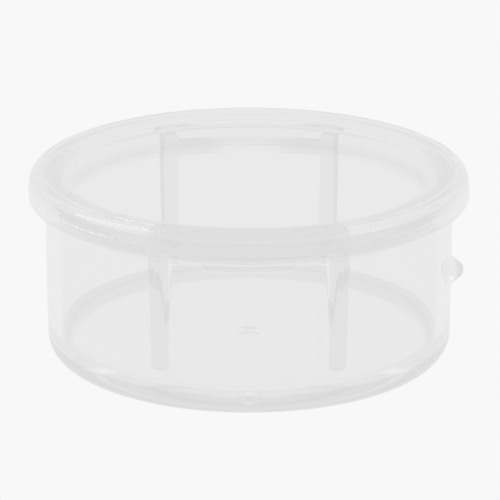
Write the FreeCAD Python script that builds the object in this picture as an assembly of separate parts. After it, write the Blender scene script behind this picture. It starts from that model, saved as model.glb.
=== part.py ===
"""Round clear box of a wet palette: a moulded tub, a push-in lid, its sealing ring and its front strap.

Units are millimetres. The origin is the centre of the base, +Z is up and the front of the box faces -Y.
"""

import FreeCAD
import Part

import math
import os

from FreeCAD import Vector

# Tub wall, floor and base
tub_height = 41.0
wall_radius = 46.35  # outside, at the mouth
wall_thickness = 3.0
wall_draft = 0.25  # outside radius lost from mouth to base
floor_top = 5.4
base_corner = 5.0  # outside corner between wall and base
floor_fillet = 1.7  # inside corner between wall and floor
foot_width = 3.2
foot_recess = 0.5  # hollow of the base at its middle
mouth_round = 0.5

# Gate mark in the middle of the floor
gate_dish_radius = 2.7
gate_dish_depth = 0.5
gate_pip_radius = 0.8
gate_pip_height = 0.6
gate_dome = 0.45  # the floor's rise over the dish

# Lid rim and skirt, measured from the tub's mouth
mouth_gap = 0.1  # left over the mouth by the ring's lips, which hold the lid
rim_thickness = 2.3
skirt_gap = 1.8  # between the skirt and the tub's wall
skirt_thickness = 1.85
skirt_drop = 3.8  # skirt's foot below the mouth
skirt_step = 0.2
skirt_step_height = 2.5  # height of the wider band at the foot of the skirt
shoulder_round = 2.4
edge_round = 0.35

# Top of the rim, from the shoulder inwards, and the sunk window
shoulder_land = 0.1
groove_width = 1.0
groove_depth = 0.35
land_width = 2.2
slope_run = 2.6
window_sink = 0.9  # window's top below the rim's top
window_thickness = 2.0

# Plug wall under the lid, and the sealing ring that slips over it
plug_thickness = 1.2
plug_drop = 6.1  # below the mouth
seal_gap = 0.2  # between the ring's lips and the tub's wall
seal_lip = 0.25
seal_lip_spacing = 1.4
seal_outer_leg = 0.6
seal_inner_leg = 0.65
seal_sole = 0.9
seal_leg_height = 2.0
seal_slip = 0.1  # between the ring's slot and the plug

# Pull tab at the front of the sealing ring
tab_width = 20.0
tab_drop = 1.2
tab_corner = 1.1

# U-shaped strap that sits in a seat on the front of the lid
strap_proud = 0.8  # in front of the skirt
strap_rise = 0.35  # over the rim
strap_land = 0.4  # rim left bare between its slope and the strap
strap_seat = 0.9  # depth of its seat in the rim and the skirt
strap_fit = 0.1  # gap all round it in the seat
strap_band_drop = 2.05  # band's lower edge below the mouth
strap_band_edge = 0.6
strap_leg_shoulder = 2.6
strap_leg_edge = 0.3
seam_gap = 0.25  # between a strap leg and the rib under it

# Upright ribs under the strap's legs, and the same again on the back
rib_azimuth = 23.7  # degrees off the middle of the side
rib_width = 3.4
rib_draft = 1.2  # face radius lost from the seam to the foot
rib_foot = 10.2  # above the base
rib_foot_round = 3.2  # quarter round that runs the foot into the wall
rib_edge_round = 0.7
rib_root = 1.2  # how deep the rib reaches into the wall
rib_root_round = 0.4  # fillet between a rib's sides and the wall

# Straight bar that joins the two back ribs into a frame
bar_height = 3.4
bar_drop = 1.85  # its top below the ribs' top
bar_proud = 0.4  # its flat face, in front of the wall at the middle
bar_edge = 0.4

# Rounded lug on the right-hand wall
lug_height = 18.9  # its axis above the base
lug_radius = 3.5
lug_reach = 2.8
lug_tip_radius = 1.1
lug_tip_round = 1.2
lug_root_round = 1.8

# Worked-out sizes
base_radius = wall_radius - wall_draft
bore_radius = wall_radius - wall_thickness
skirt_inner = wall_radius + skirt_gap
rim_radius = skirt_inner + skirt_thickness
rim_under = tub_height + mouth_gap
rim_top = rim_under + rim_thickness
window_top = rim_top - window_sink
skirt_foot = tub_height - skirt_drop
groove_outer = rim_radius - skirt_step - shoulder_round - shoulder_land
groove_inner = groove_outer - groove_width
slope_outer = groove_inner - land_width
slope_inner = slope_outer - slope_run
slot_outer = bore_radius - seal_gap - seal_lip - seal_outer_leg
plug_outer = slot_outer - seal_slip
plug_inner = plug_outer - plug_thickness
plug_foot = tub_height - plug_drop
strap_face = rim_radius + strap_proud
strap_inner = slope_outer + strap_land
strap_top = rim_top + strap_rise
rib_top = skirt_foot - seam_gap
front = -90.0
back = 90.0
left = 180.0


def corner_arc(before, corner, after, radius):
    """Start, middle and end of the arc of that radius that rounds a corner of a section."""
    to_before = (before - corner).normalize()
    to_after = (after - corner).normalize()
    half_angle = to_before.getAngle(to_after) / 2
    reach = radius / math.tan(half_angle)
    bisector = (to_before + to_after).normalize()
    centre = corner + bisector * (radius / math.sin(half_angle))
    return corner + to_before * reach, centre - bisector * radius, corner + to_after * reach


def rounded_outline(corners):
    """Closed wire through (point, radius) corners, each rounded by an arc of its own radius."""
    points = [point for point, radius in corners]
    edges = []
    first_end = None
    last_end = None
    for index, (corner, radius) in enumerate(corners):
        if radius:
            before = points[index - 1]
            after = points[(index + 1) % len(points)]
            start, middle, end = corner_arc(before, corner, after, radius)
        else:
            start = end = corner
        if last_end is None:
            first_end = start
        elif last_end.distanceToPoint(start) > 1e-6:
            edges.append(Part.LineSegment(last_end, start).toShape())
        if radius:
            edges.append(Part.Arc(start, middle, end).toShape())
        last_end = end
    if last_end.distanceToPoint(first_end) > 1e-6:
        edges.append(Part.LineSegment(last_end, first_end).toShape())
    return Part.Wire(edges)


def turned(section):
    """Solid of revolution about Z of a half section given as (radius, height, corner radius)."""
    outline = rounded_outline([(Vector(r, 0, z), rounding) for r, z, rounding in section])
    return Part.Face(outline).revolve(Vector(0, 0, 0), Vector(0, 0, 1), 360)


def facing(shape, azimuth):
    """A shape drawn towards +X, turned to face that azimuth."""
    turned_copy = shape.copy()
    turned_copy.rotate(Vector(0, 0, 0), Vector(0, 0, 1), azimuth)
    return turned_copy


def tub_shell():
    """The tub's wall, floor and hollowed base, without ribs, bar and lug."""
    foot_inner = base_radius - base_corner - foot_width
    section = [
        (0, foot_recess, 0),
        (foot_inner, 0, 0),
        (base_radius, 0, base_corner),
        (wall_radius, tub_height, mouth_round),
        (bore_radius, tub_height, mouth_round),
        (bore_radius - wall_draft, floor_top, floor_fillet),
        (0, floor_top, 0),
    ]
    return turned(section)


def gate_mark(shell):
    """The shell with its gate dish under the floor, the pip left in it and the dome over it."""
    dome_radius = (gate_dish_radius**2 + gate_dome**2) / (2 * gate_dome)
    ball = Part.makeSphere(dome_radius, Vector(0, 0, floor_top + gate_dome - dome_radius))
    above_floor = Part.makeCylinder(gate_dish_radius * 2, gate_dome * 2, Vector(0, 0, floor_top))
    dish_radius = (gate_dish_radius**2 + gate_dish_depth**2) / (2 * gate_dish_depth)
    dish_top = foot_recess + gate_dish_depth
    dish = Part.makeSphere(dish_radius, Vector(0, 0, dish_top - dish_radius))
    pip = Part.makeCone(
        gate_pip_radius * 0.75, gate_pip_radius, gate_pip_height, Vector(0, 0, dish_top - gate_pip_height)
    )
    return shell.fuse(ball.common(above_floor)).cut(dish).fuse(pip)


def rib_bar(low, high):
    """Upright bar towards +X with rounded outer edges, leaning in by the ribs' draft."""
    slope = rib_draft / (rib_top - rib_foot)
    face_low = strap_face + (low - rib_top) * slope
    root = wall_radius - rib_root
    half = rib_width / 2
    corners = [
        (Vector(root - rib_draft, -half, low), 0),
        (Vector(face_low, -half, low), rib_edge_round),
        (Vector(face_low, half, low), rib_edge_round),
        (Vector(root - rib_draft, half, low), 0),
    ]
    lean = Vector((high - low) * slope, 0, high - low)
    return Part.Face(rounded_outline(corners)).extrude(lean)


def tub_rib():
    """One rib towards +X: round-ended from the front, and run out into the wall at its foot."""
    half = rib_width / 2
    reach = strap_face * 2
    round_end = [
        (Vector(0, -half, rib_foot), half),
        (Vector(0, half, rib_foot), half),
        (Vector(0, half, rib_top), 0),
        (Vector(0, -half, rib_top), 0),
    ]
    front_view = Part.Face(rounded_outline(round_end)).extrude(Vector(reach, 0, 0))
    root = wall_radius - rib_root
    side_view = [
        (root, rib_foot, 0),
        (strap_face - rib_draft, rib_foot, rib_foot_round),
        (strap_face + rib_draft, rib_top, 0),
        (root, rib_top, 0),
    ]
    foot_run = rounded_outline([(Vector(r, -half, z), rounding) for r, z, rounding in side_view])
    run_out = Part.Face(foot_run).extrude(Vector(0, rib_width, 0))
    return rib_bar(rib_foot - 1, rib_top).common(front_view).common(run_out)


def side_lug():
    """The rounded lug on the right-hand wall, a blunt cone along +X that runs out into the wall."""
    root = wall_radius - wall_thickness / 2
    skin = base_radius + wall_draft * lug_height / tub_height
    tip = skin + lug_reach
    profile = [
        (Vector(root, 0, 0), 0),
        (Vector(root, lug_radius + lug_root_round, 0), 0),
        (Vector(skin - lug_root_round / 2, lug_radius + lug_root_round, 0), 0),
        (Vector(skin, lug_radius, 0), lug_root_round),
        (Vector(tip, lug_tip_radius, 0), lug_tip_round),
        (Vector(tip, 0, 0), 0),
    ]
    lug = Part.Face(rounded_outline(profile)).revolve(Vector(0, 0, 0), Vector(1, 0, 0), 360)
    lug.translate(Vector(0, 0, lug_height))
    return lug


def frame_bar():
    """The straight bar towards +X that joins two ribs, filled down to the wall behind it."""
    lean = math.radians(rib_azimuth)
    half_length = strap_face * math.sin(lean) - (rib_width / 2 - rib_root_round) * math.cos(lean)
    face = wall_radius + bar_proud
    root = wall_radius - rib_root
    top = rib_top - bar_drop
    side_view = [
        (0, top - bar_height, 0),
        (face, top - bar_height, bar_edge),
        (face, top, bar_edge),
        (0, top, 0),
    ]
    outline = rounded_outline([(Vector(r, -half_length, z), rounding) for r, z, rounding in side_view])
    block = Part.Face(outline).extrude(Vector(0, half_length * 2, 0))
    return block.cut(Part.makeCylinder(root, tub_height))


def on_rib_root(edge):
    """Whether an edge runs down the wall beside a rib."""
    middle = edge.valueAt((edge.FirstParameter + edge.LastParameter) / 2)
    on_wall = base_radius - 1e-3 < math.hypot(middle.x, middle.y) < wall_radius + 1e-3
    beside = abs(math.degrees(math.atan2(middle.x, abs(middle.y)))) < rib_azimuth * 2
    drop = edge.Vertexes[0].Z - edge.Vertexes[-1].Z
    return on_wall and beside and abs(drop) > (rib_top - rib_foot) / 2


def make_tub():
    """The whole tub as one moulding."""
    tub = facing(gate_mark(tub_shell()), left)
    rib = tub_rib()
    for side in (front, back):
        for lean in (-rib_azimuth, rib_azimuth):
            tub = tub.fuse(facing(rib, side + lean))
    tub = tub.fuse(side_lug()).removeSplitter()
    tub = tub.makeFillet(rib_root_round, [edge for edge in tub.Edges if on_rib_root(edge)])
    return tub.fuse(facing(frame_bar(), back)).removeSplitter()


def lid_shell():
    """The lid's window, rim, skirt and plug wall, before the strap's seat is cut."""
    window_under = window_top - window_thickness
    step_top = skirt_foot + skirt_step_height
    section = [
        (0, window_top, 0),
        (slope_inner, window_top, edge_round),
        (slope_outer, rim_top, edge_round),
        (groove_inner, rim_top, 0),
        ((groove_inner + groove_outer) / 2, rim_top - groove_depth, edge_round),
        (groove_outer, rim_top, 0),
        (rim_radius - skirt_step, rim_top, shoulder_round),
        (rim_radius - skirt_step, step_top + skirt_step, 0),
        (rim_radius, step_top, 0),
        (rim_radius, skirt_foot, edge_round),
        (skirt_inner, skirt_foot, edge_round),
        (skirt_inner, rim_under, edge_round),
        (plug_outer, rim_under, edge_round),
        (plug_outer, plug_foot, edge_round),
        (plug_inner, plug_foot, edge_round),
        (plug_inner, window_under, edge_round),
        (0, window_under, 0),
    ]
    return turned(section)


def strap_ring(foot, shoulder):
    """Full ring with the strap's section: over the rim from the top of its slope and down to that foot."""
    under = rim_top - strap_seat
    inside = rim_radius - strap_seat
    section = [
        (strap_inner, under, 0),
        (strap_inner, strap_top, strap_band_edge),
        (strap_face, strap_top, shoulder),
        (strap_face, foot, edge_round),
        (inside, foot, 0),
        (inside, under, 0),
    ]
    return turned(section)


def seat_ring(foot):
    """Full ring that clears the strap's section by its fit, open above and in front."""
    under = rim_top - strap_seat - strap_fit
    inside = rim_radius - strap_seat - strap_fit
    clear = strap_face * 2
    section = [
        (strap_inner - strap_fit, under, 0),
        (strap_inner - strap_fit, clear, 0),
        (clear, clear, 0),
        (clear, foot - strap_fit, 0),
        (inside, foot - strap_fit, 0),
        (inside, under, 0),
    ]
    return turned(section)


def strap_band(ring):
    """The part of a ring towards +X between the middles of the strap's legs."""
    reach = strap_face * 3
    half_chord = reach * math.tan(math.radians(rib_azimuth))
    wedge = Part.makePolygon(
        [Vector(0, 0, 0), Vector(reach, -half_chord, 0), Vector(reach, half_chord, 0), Vector(0, 0, 0)]
    )
    return ring.common(Part.Face(wedge).extrude(Vector(0, 0, reach)))


def strap_leg(ring, width):
    """The part of a ring towards +X that lies within that width."""
    reach = strap_face * 3
    return ring.common(Part.makeBox(reach, width, reach, Vector(0, -width / 2, 0)))


def make_strap():
    """The U-shaped strap: a band between two legs, the legs in line with the tub's ribs."""
    band_foot = tub_height - strap_band_drop
    strap = facing(strap_band(strap_ring(band_foot, strap_band_edge)), front)
    leg = strap_leg(strap_ring(skirt_foot, strap_leg_shoulder), rib_width)
    leg = leg.makeFillet(strap_leg_edge, [edge for edge in leg.Edges if on_leg_outside(edge)])
    for lean in (-rib_azimuth, rib_azimuth):
        strap = strap.fuse(facing(leg, front + lean))
    return strap.removeSplitter()


def strap_seat_room():
    """The room that the strap takes up in the lid, with its fit all round."""
    band_foot = tub_height - strap_band_drop
    room = facing(strap_band(seat_ring(band_foot)), front)
    leg = strap_leg(seat_ring(skirt_foot), rib_width + strap_fit * 2)
    for lean in (-rib_azimuth, rib_azimuth):
        room = room.fuse(facing(leg, front + lean))
    return room


def on_leg_outside(edge):
    """Whether an edge runs along a side of a strap leg, over its top, shoulder or outer face."""
    middle = edge.valueAt((edge.FirstParameter + edge.LastParameter) / 2)
    on_side = all(abs(abs(vertex.Y) - rib_width / 2) < 1e-4 for vertex in edge.Vertexes)
    on_one_side = len({vertex.Y > 0 for vertex in edge.Vertexes}) == 1
    over_top = middle.z > strap_top - 1e-3
    on_face = math.hypot(middle.x, middle.y) > strap_face - 1e-3
    return on_side and on_one_side and (over_top or on_face)


def make_lid():
    """The whole lid as one moulding, with the seat for its strap."""
    return lid_shell().cut(strap_seat_room()).removeSplitter()


def make_seal():
    """The sealing ring: a channel that slips over the plug wall, with two lips and a pull tab."""
    body_radius = bore_radius - seal_gap - seal_lip
    sole_top = plug_foot - seal_slip
    sole = sole_top - seal_sole
    top = sole_top + seal_leg_height
    slot_inner = plug_inner - seal_slip
    inner = slot_inner - seal_inner_leg
    section = [
        (inner, sole, edge_round),
        (body_radius, sole, edge_round),
        (body_radius, top, 0),
        (slot_outer, top, 0),
        (slot_outer, sole_top, 0),
        (slot_inner, sole_top, 0),
        (slot_inner, top, 0),
        (inner, top, 0),
    ]
    ring = turned(section)
    middle = (sole + top) / 2
    for side in (-1, 1):
        lip_height = middle + side * seal_lip_spacing / 2
        lip = Part.makeTorus(body_radius, seal_lip, Vector(0, 0, lip_height))
        ring = ring.fuse(lip)
    tab_inner = slot_outer - plug_thickness / 2
    hoop_height = seal_sole / 2 + tab_drop
    hoop = Part.makeCylinder(body_radius, hoop_height, Vector(0, 0, sole - tab_drop))
    hoop = hoop.cut(Part.makeCylinder(tab_inner, hoop_height, Vector(0, 0, sole - tab_drop)))
    half = tab_width / 2
    tongue = [
        (Vector(0, -half, sole - tab_drop), tab_corner),
        (Vector(0, half, sole - tab_drop), tab_corner),
        (Vector(0, half, top), 0),
        (Vector(0, -half, top), 0),
    ]
    front_view = Part.Face(rounded_outline(tongue)).extrude(Vector(rim_radius, 0, 0))
    ring = ring.fuse(facing(hoop.common(front_view), front))
    return ring.removeSplitter()


def main():
    """Builds every piece and writes one file for each."""
    os.makedirs("parts", exist_ok=True)
    pieces = {
        "tub": make_tub(),
        "lid": make_lid(),
        "seal_ring": make_seal(),
        "front_strap": make_strap(),
    }
    for name, shape in pieces.items():
        shape.exportStep(f"parts/{name}.step")
        box = shape.BoundBox
        print(
            f"{name}: solids {len(shape.Solids)}, valid {shape.isValid()}, volume {shape.Volume:.1f} mm3, "
            f"x {box.XMin:.2f} to {box.XMax:.2f}, y {box.YMin:.2f} to {box.YMax:.2f}, "
            f"z {box.ZMin:.2f} to {box.ZMax:.2f}"
        )


main()
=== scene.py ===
"""Looks for a round clear wet palette box: moulded tub, lid and strap, silicone sealing ring, white studio.

Lengths are metres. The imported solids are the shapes; this file gives them their finishes, light and camera.
"""

import math

import bpy
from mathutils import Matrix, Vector

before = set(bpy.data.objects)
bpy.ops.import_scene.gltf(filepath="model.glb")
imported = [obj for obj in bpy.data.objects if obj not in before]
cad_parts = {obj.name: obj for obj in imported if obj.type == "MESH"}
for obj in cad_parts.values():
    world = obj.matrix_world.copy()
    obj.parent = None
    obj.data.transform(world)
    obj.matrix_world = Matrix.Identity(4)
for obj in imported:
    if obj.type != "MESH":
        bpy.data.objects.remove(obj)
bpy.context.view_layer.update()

bl_info = {
    "name": "Clear palette box",
    "version": (1, 0, 0),
    "blender": (4, 5, 0),
    "location": "3D View > Sidebar > Palette Box",
    "description": "Finishes and studio for a round clear wet palette box",
    "category": "Object",
}

MM = 0.001
# Light is followed this far, because a path cut short inside clear plastic shows as a dark speck.
LIGHT_BOUNCES = 1024
CLOUD_BOUNCES = 128
# Softboxes: size and place in metres, and power in watts.
SOFTBOXES = {
    "left_softbox": ((0.6, 0.8), (-0.78, 0.10, 0.90), 10.0),
    "right_softbox": ((0.4, 0.6), (0.95, -0.35, 0.55), 3.0),
}


def linear(hex_colour):
    """sRGB hex text such as '#f8f8f8' as a linear colour with full alpha."""
    channels = [int(hex_colour[i:i + 2], 16) / 255 for i in (1, 3, 5)]
    return [c / 12.92 if c <= 0.04045 else ((c + 0.055) / 1.055) ** 2.4 for c in channels] + [1.0]


def add_node(tree, kind, settings=None, links=None):
    """Adds a node, with attributes by name, socket values by socket and links from other sockets."""
    node = tree.nodes.new(kind)
    for name, value in (settings or {}).items():
        if isinstance(name, str) and hasattr(node, name):
            setattr(node, name, value)
        else:
            node.inputs[name].default_value = value
    for name, source in (links or {}).items():
        tree.links.new(source, node.inputs[name])
    return node


def new_material(name):
    """An empty node material and its tree."""
    material = bpy.data.materials.new(name)
    material.use_nodes = True
    material.node_tree.nodes.clear()
    return material, material.node_tree


class PlasticFinish(bpy.types.PropertyGroup):
    """Colour, cloudiness and surface of the moulded plastics."""

    thin: bpy.props.FloatVectorProperty(
        name="Thin colour", description="What thin walls leave of the light that crosses them",
        subtype="COLOR", size=4, min=0.0, max=1.0, default=linear("#fcfcfc"))
    rib: bpy.props.FloatVectorProperty(
        name="Rib colour", description="What the ribs leave, which stand out from the tub's wall",
        subtype="COLOR", size=4, min=0.0, max=1.0, default=linear("#eeeeee"))
    base: bpy.props.FloatVectorProperty(
        name="Base colour", description="What the thick corner of the tub's base leaves",
        subtype="COLOR", size=4, min=0.0, max=1.0, default=linear("#ececec"))
    rim: bpy.props.FloatVectorProperty(
        name="Rim colour", description="What the lid's thick rim leaves",
        subtype="COLOR", size=4, min=0.0, max=1.0, default=linear("#f7f7f7"))
    wall_radius: bpy.props.FloatProperty(
        name="Wall radius", description="Outside of the tub's wall",
        subtype="DISTANCE", unit="LENGTH", default=47.0 * MM)
    panel_radius: bpy.props.FloatProperty(
        name="Panel radius", description="Edge of the lid's thin middle",
        subtype="DISTANCE", unit="LENGTH", default=42.0 * MM)
    shoulder_height: bpy.props.FloatProperty(
        name="Shoulder height", description="Top of the lid's thin skirt",
        subtype="DISTANCE", unit="LENGTH", default=39.5 * MM)
    floor_height: bpy.props.FloatProperty(
        name="Floor height", description="Top of the tub's floor",
        subtype="DISTANCE", unit="LENGTH", default=5.4 * MM)
    strap_milk: bpy.props.FloatProperty(
        name="Strap cloudiness", description="Scattering in the strap's plastic, per metre",
        default=600.0, min=0.0)
    strap_loss: bpy.props.FloatProperty(
        name="Strap loss", description="Light lost in the strap's plastic, per metre", default=30.0, min=0.0)
    tint: bpy.props.FloatVectorProperty(
        name="Strap tint", description="Colour that the light lost in the strap leaves behind",
        subtype="COLOR", size=4, min=0.0, max=1.0, default=linear("#bcbcbc"))
    roughness: bpy.props.FloatProperty(
        name="Roughness", description="Haze of the polished mould surface", default=0.03, min=0.0, max=1.0)
    ior: bpy.props.FloatProperty(
        name="IOR", description="Refraction, fitted to the photo and below real polypropylene's",
        default=1.16, min=1.0)
    wave_length: bpy.props.FloatProperty(
        name="Wave length", description="Spacing of the slow waves in the moulded surface",
        subtype="DISTANCE", unit="LENGTH", default=14 * MM)
    wave_height: bpy.props.FloatProperty(
        name="Wave height", description="Height of those waves",
        subtype="DISTANCE", unit="LENGTH", default=0.002 * MM)


class SealFinish(bpy.types.PropertyGroup):
    """Surface of the silicone ring."""

    roughness: bpy.props.FloatProperty(
        name="Roughness", description="Satin of the silicone", default=0.06, min=0.0, max=1.0)
    ior: bpy.props.FloatProperty(
        name="IOR", description="Refraction, below real silicone's: from 1.05 up the rim had dark marks",
        default=1.02, min=1.0)


class StudioSetup(bpy.types.PropertyGroup):
    """Backdrop, light and camera."""

    backdrop: bpy.props.FloatVectorProperty(
        name="Backdrop", description="Colour of the floor and the surroundings",
        subtype="COLOR", size=4, min=0.0, max=1.0, default=linear("#f8f8f8"))
    aim: bpy.props.FloatVectorProperty(
        name="Aim", description="Point at the middle of the picture",
        subtype="XYZ", unit="LENGTH", default=(0.23 * MM, 0.0, 23.55 * MM))
    distance: bpy.props.FloatProperty(
        name="Distance", description="Camera to the aim point",
        subtype="DISTANCE", unit="LENGTH", default=0.85)
    elevation: bpy.props.FloatProperty(
        name="Elevation", description="Camera's angle above the table",
        subtype="ANGLE", unit="ROTATION", default=math.radians(18.66))
    surround: bpy.props.FloatProperty(
        name="Surround", description="Brightness of the surroundings as the plastic shows them",
        default=0.92, min=0.0, max=1.0)
    overhead: bpy.props.FloatProperty(
        name="Overhead", description="Brightness above the softboxes, where the studio has no white wall",
        default=0.94, min=0.0, max=1.0)
    lens: bpy.props.FloatProperty(
        name="Lens", description="Focal length in millimetres on a 36 mm square sensor",
        default=267.8, min=1.0)


def cloudy_inside(tree, tint, milk, loss):
    """Volume socket of plastic that scatters and takes some of the light that crosses it."""
    lost = add_node(tree, "ShaderNodeVolumeAbsorption", {"Color": tint, "Density": loss})
    milky = add_node(tree, "ShaderNodeVolumeScatter", {"Color": (1.0, 1.0, 1.0, 1.0), "Density": milk})
    both = add_node(
        tree, "ShaderNodeAddShader", None, {0: lost.outputs["Volume"], 1: milky.outputs["Volume"]})
    return both.outputs["Shader"]


def moulded_surface(tree, finish, place):
    """Polished skin of a moulded plastic, with slow waves placed by that coordinate node."""
    waves = add_node(
        tree, "ShaderNodeTexNoise",
        {"Scale": 1 / finish.wave_length, "Detail": 1.0, "Roughness": 0.4},
        {"Vector": place.outputs["Object"]})
    relief = add_node(
        tree, "ShaderNodeBump", {"Strength": 1.0, "Distance": finish.wave_height},
        {"Height": waves.outputs["Fac"]})
    return add_node(
        tree, "ShaderNodeBsdfPrincipled",
        {
            "Base Color": finish.thin,
            "Roughness": finish.roughness,
            "IOR": finish.ior,
            "Transmission Weight": 1.0,
        },
        {"Normal": relief.outputs["Normal"]})


def past(tree, socket, start, end):
    """Socket that rises from 0 to 1 while that one goes from start to end."""
    return add_node(
        tree, "ShaderNodeMapRange", {"From Min": start, "From Max": end}, {"Value": socket}).outputs["Result"]


def tinted(tree, before, colour, where):
    """Colour socket: that colour where the last socket is 1, and the one before elsewhere."""
    mix = add_node(tree, "ShaderNodeMix", {"data_type": "RGBA", 7: colour}, {0: where})
    if isinstance(before, bpy.types.NodeSocket):
        tree.links.new(before, mix.inputs[6])
    else:
        mix.inputs[6].default_value = before
    return mix.outputs[2]


def axis_reach(tree, place):
    """Socket with the distance from the box's upright axis."""
    flat = add_node(
        tree, "ShaderNodeVectorMath", {"operation": "MULTIPLY", 1: (1.0, 1.0, 0.0)},
        {0: place.outputs["Object"]})
    return add_node(
        tree, "ShaderNodeVectorMath", {"operation": "LENGTH"}, {0: flat.outputs["Vector"]}).outputs["Value"]


# Clear polypropylene, injection-moulded: polished mould walls, so sharp reflections, with the slow waves of a
# moulded surface. Thin walls take almost no light; the ribs and the thick corner of the base look greyer.
def tub_polypropylene(finish):
    """Material of the tub."""
    material, tree = new_material("clear_tub_plastic")
    place = add_node(tree, "ShaderNodeTexCoord")
    surface = moulded_surface(tree, finish, place)
    reach = axis_reach(tree, place)
    height = add_node(tree, "ShaderNodeSeparateXYZ", None, {"Vector": place.outputs["Object"]}).outputs["Z"]
    low = add_node(
        tree, "ShaderNodeMath", {"operation": "MULTIPLY"},
        {0: past(tree, height, finish.floor_height + 0.3 * MM, finish.floor_height - 0.2 * MM),
         1: past(tree, reach, finish.panel_radius - 2 * MM, finish.panel_radius)})
    colour = tinted(tree, finish.thin, finish.base, low.outputs["Value"])
    outside = past(tree, reach, finish.wall_radius, finish.wall_radius + 0.8 * MM)
    colour = tinted(tree, colour, finish.rib, outside)
    tree.links.new(colour, surface.inputs["Base Color"])
    add_node(tree, "ShaderNodeOutputMaterial", None, {"Surface": surface.outputs["BSDF"]})
    return material


# The lid's polypropylene: the same, clear in its thin middle and greyer in its thick rim.
def lid_polypropylene(finish):
    """Material of the lid."""
    material, tree = new_material("clear_lid_plastic")
    place = add_node(tree, "ShaderNodeTexCoord")
    surface = moulded_surface(tree, finish, place)
    height = add_node(tree, "ShaderNodeSeparateXYZ", None, {"Vector": place.outputs["Object"]}).outputs["Z"]
    reach = axis_reach(tree, place)
    edge = add_node(
        tree, "ShaderNodeMath", {"operation": "MULTIPLY"},
        {0: past(tree, reach, finish.panel_radius - 0.5 * MM, finish.panel_radius + 0.5 * MM),
         1: past(tree, height, finish.shoulder_height, finish.shoulder_height + 1 * MM)})
    colour = tinted(tree, finish.thin, finish.rim, edge.outputs["Value"])
    tree.links.new(colour, surface.inputs["Base Color"])
    add_node(tree, "ShaderNodeOutputMaterial", None, {"Surface": surface.outputs["BSDF"]})
    return material


# Milky polypropylene: the same skin, but so cloudy inside that it looks an even light grey.
def milky_polypropylene(finish):
    """Material of the strap."""
    material, tree = new_material("milky_strap_plastic")
    place = add_node(tree, "ShaderNodeTexCoord")
    surface = moulded_surface(tree, finish, place)
    inside = cloudy_inside(tree, finish.tint, finish.strap_milk, finish.strap_loss)
    add_node(
        tree, "ShaderNodeOutputMaterial", None, {"Surface": surface.outputs["BSDF"], "Volume": inside})
    return material


# Clear moulded silicone: a softer skin than the plastic, as clear inside, and so little bent light that the
# ring shows mostly by its tint.
def clear_silicone(finish, plastic):
    """Material of the sealing ring."""
    material, tree = new_material("clear_silicone")
    surface = add_node(
        tree, "ShaderNodeBsdfPrincipled",
        {
            "Base Color": plastic.thin,
            "Roughness": finish.roughness,
            "IOR": finish.ior,
            "Transmission Weight": 1.0,
        })
    add_node(tree, "ShaderNodeOutputMaterial", None, {"Surface": surface.outputs["BSDF"]})
    return material


def dress(node_name, material):
    """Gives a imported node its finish."""
    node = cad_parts[node_name]
    if not node.material_slots:
        raise RuntimeError(f"{node_name} has no material slot")
    for slot in node.material_slots:
        slot.material = material


class PALETTE_OT_tub(bpy.types.Operator):
    """Gives the tub its clear plastic"""

    bl_idname = "palette.tub"
    bl_label = "Finish tub"

    def execute(self, context):
        dress("tub", tub_polypropylene(context.scene.palette_plastic))
        return {"FINISHED"}


class PALETTE_OT_lid(bpy.types.Operator):
    """Gives the lid its clear plastic"""

    bl_idname = "palette.lid"
    bl_label = "Finish lid"

    def execute(self, context):
        dress("lid", lid_polypropylene(context.scene.palette_plastic))
        return {"FINISHED"}


class PALETTE_OT_seal_ring(bpy.types.Operator):
    """Gives the sealing ring its silicone"""

    bl_idname = "palette.seal_ring"
    bl_label = "Finish sealing ring"

    def execute(self, context):
        scene = context.scene
        dress("seal_ring", clear_silicone(scene.palette_seal, scene.palette_plastic))
        return {"FINISHED"}


class PALETTE_OT_front_strap(bpy.types.Operator):
    """Gives the strap its milky plastic"""

    bl_idname = "palette.front_strap"
    bl_label = "Finish strap"

    def execute(self, context):
        dress("front_strap", milky_polypropylene(context.scene.palette_plastic))
        return {"FINISHED"}


def backdrop_rays(tree, studio):
    """Sockets: 1 for rays from the camera, a reflection or plastic, and the brightness they see."""
    path = add_node(tree, "ShaderNodeLightPath")
    seen = add_node(
        tree, "ShaderNodeMath", {"operation": "MAXIMUM"},
        {0: path.outputs["Is Camera Ray"], 1: path.outputs["Is Glossy Ray"]})
    seen = add_node(
        tree, "ShaderNodeMath", {"operation": "MAXIMUM"},
        {0: seen.outputs["Value"], 1: path.outputs["Is Transmission Ray"]})
    level = add_node(
        tree, "ShaderNodeMapRange", {"To Min": studio.surround, "To Max": 1.0},
        {"Value": path.outputs["Is Camera Ray"]})
    return seen.outputs["Value"], level.outputs["Result"]


def softbox(name, size, place, watts):
    """A lamp at that place, facing the box, that shows in reflections alone."""
    lamp = bpy.data.lights.new(name, "AREA")
    lamp.shape = "RECTANGLE"
    lamp.size, lamp.size_y = size
    lamp.energy = watts
    holder = bpy.data.objects.new(name, lamp)
    bpy.context.scene.collection.objects.link(holder)
    holder.location = place
    holder.rotation_euler = (Vector((0, 0, 0.02)) - Vector(place)).to_track_quat("-Z", "Y").to_euler()
    holder.visible_diffuse = False
    holder.visible_transmission = False
    holder.visible_volume_scatter = False
    return holder


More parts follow.
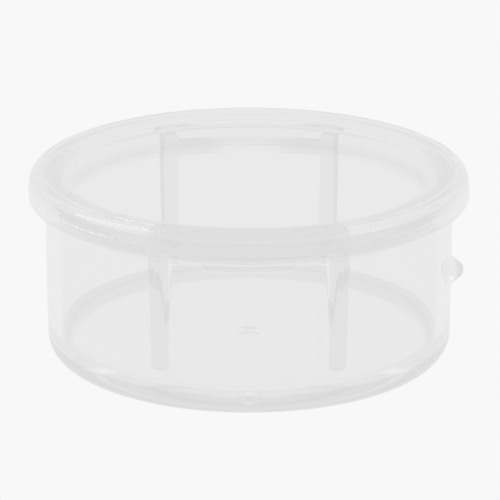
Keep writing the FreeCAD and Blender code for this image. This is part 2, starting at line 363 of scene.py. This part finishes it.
class PALETTE_OT_studio(bpy.types.Operator):
    """Builds the white studio: floor, surroundings, softboxes and camera"""

    bl_idname = "palette.studio"
    bl_label = "Set up studio"

    def execute(self, context):
        scene = context.scene
        studio = scene.palette_studio
        scene.view_settings.view_transform = "Standard"
        scene.cycles.blur_glossy = 0.0
        scene.cycles.max_bounces = LIGHT_BOUNCES
        scene.cycles.glossy_bounces = LIGHT_BOUNCES
        scene.cycles.transmission_bounces = LIGHT_BOUNCES
        scene.cycles.volume_bounces = CLOUD_BOUNCES
        scene.cycles.min_light_bounces = LIGHT_BOUNCES

        bpy.ops.mesh.primitive_plane_add(size=6.0, location=(0, 0, -0.1 * MM))
        floor = context.object
        floor.name = "studio_floor"
        material, tree = new_material("white_paper_floor")
        paper = add_node(tree, "ShaderNodeBsdfDiffuse", {"Color": studio.backdrop})
        seen, level = backdrop_rays(tree, studio)
        white = add_node(tree, "ShaderNodeEmission", {"Color": studio.backdrop}, {"Strength": level})
        sight = add_node(
            tree, "ShaderNodeMixShader", None,
            {0: seen, 1: paper.outputs["BSDF"], 2: white.outputs["Emission"]})
        add_node(tree, "ShaderNodeOutputMaterial", None, {"Surface": sight.outputs["Shader"]})
        floor.data.materials.append(material)

        world = bpy.data.worlds.new("white_surroundings")
        world.use_nodes = True
        scene.world = world
        tree = world.node_tree
        tree.nodes.clear()
        seen, level = backdrop_rays(tree, studio)
        place = add_node(tree, "ShaderNodeTexCoord")
        height = add_node(tree, "ShaderNodeSeparateXYZ", None, {"Vector": place.outputs["Generated"]})
        fade = add_node(
            tree, "ShaderNodeMapRange",
            {"interpolation_type": "SMOOTHSTEP", "From Min": 0.35, "From Max": 0.80, "To Min": 1.0,
             "To Max": studio.overhead},
            {"Value": height.outputs["Z"]})
        faded = add_node(
            tree, "ShaderNodeMath", {"operation": "MULTIPLY"}, {0: level, 1: fade.outputs["Result"]})
        wall = add_node(
            tree, "ShaderNodeBackground", {"Color": studio.backdrop}, {"Strength": faded.outputs["Value"]})
        fill = add_node(tree, "ShaderNodeBackground", {"Color": studio.backdrop, "Strength": 1.0})
        sight = add_node(
            tree, "ShaderNodeMixShader", None,
            {0: seen, 1: fill.outputs["Background"], 2: wall.outputs["Background"]})
        add_node(tree, "ShaderNodeOutputWorld", None, {"Surface": sight.outputs["Shader"]})

        for name, (size, spot, watts) in SOFTBOXES.items():
            softbox(name, size, spot, watts)

        camera = bpy.data.cameras.new("photo_camera")
        camera.sensor_fit = "HORIZONTAL"
        camera.sensor_width = 36.0
        camera.lens = studio.lens
        camera.clip_start = 0.05
        holder = bpy.data.objects.new("photo_camera", camera)
        scene.collection.objects.link(holder)
        back = Vector((0, -math.cos(studio.elevation), math.sin(studio.elevation)))
        holder.location = Vector(studio.aim) + back * studio.distance
        holder.rotation_euler = (-back).to_track_quat("-Z", "Y").to_euler()
        scene.camera = holder
        return {"FINISHED"}


class PALETTE_PT_sidebar(bpy.types.Panel):
    """Sidebar panel of the palette box"""

    bl_idname = "PALETTE_PT_sidebar"
    bl_label = "Palette Box"
    bl_space_type = "VIEW_3D"
    bl_region_type = "UI"
    bl_category = "Palette Box"

    def draw(self, context):
        layout = self.layout
        for setting in GROUPS:
            group = getattr(context.scene, setting)
            box = layout.box()
            for name in group.__annotations__:
                box.prop(group, name)
        for operator in STEPS:
            layout.operator(operator.bl_idname)


GROUPS = {
    "palette_plastic": PlasticFinish,
    "palette_seal": SealFinish,
    "palette_studio": StudioSetup,
}
STEPS = (PALETTE_OT_tub, PALETTE_OT_lid, PALETTE_OT_seal_ring, PALETTE_OT_front_strap, PALETTE_OT_studio)
CLASSES = (*GROUPS.values(), *STEPS, PALETTE_PT_sidebar)


def register():
    """Registers the classes and hangs the settings on the scene."""
    for entry in CLASSES:
        bpy.utils.register_class(entry)
    for name, group in GROUPS.items():
        setattr(bpy.types.Scene, name, bpy.props.PointerProperty(type=group))


def unregister():
    """Takes the settings and the classes away again."""
    for name in GROUPS:
        delattr(bpy.types.Scene, name)
    for entry in reversed(CLASSES):
        bpy.utils.unregister_class(entry)


def main():
    """Builds the whole scene."""
    register()
    bpy.ops.palette.tub()
    bpy.ops.palette.lid()
    bpy.ops.palette.seal_ring()
    bpy.ops.palette.front_strap()
    bpy.ops.palette.studio()


if __name__ == "__main__":
    main()
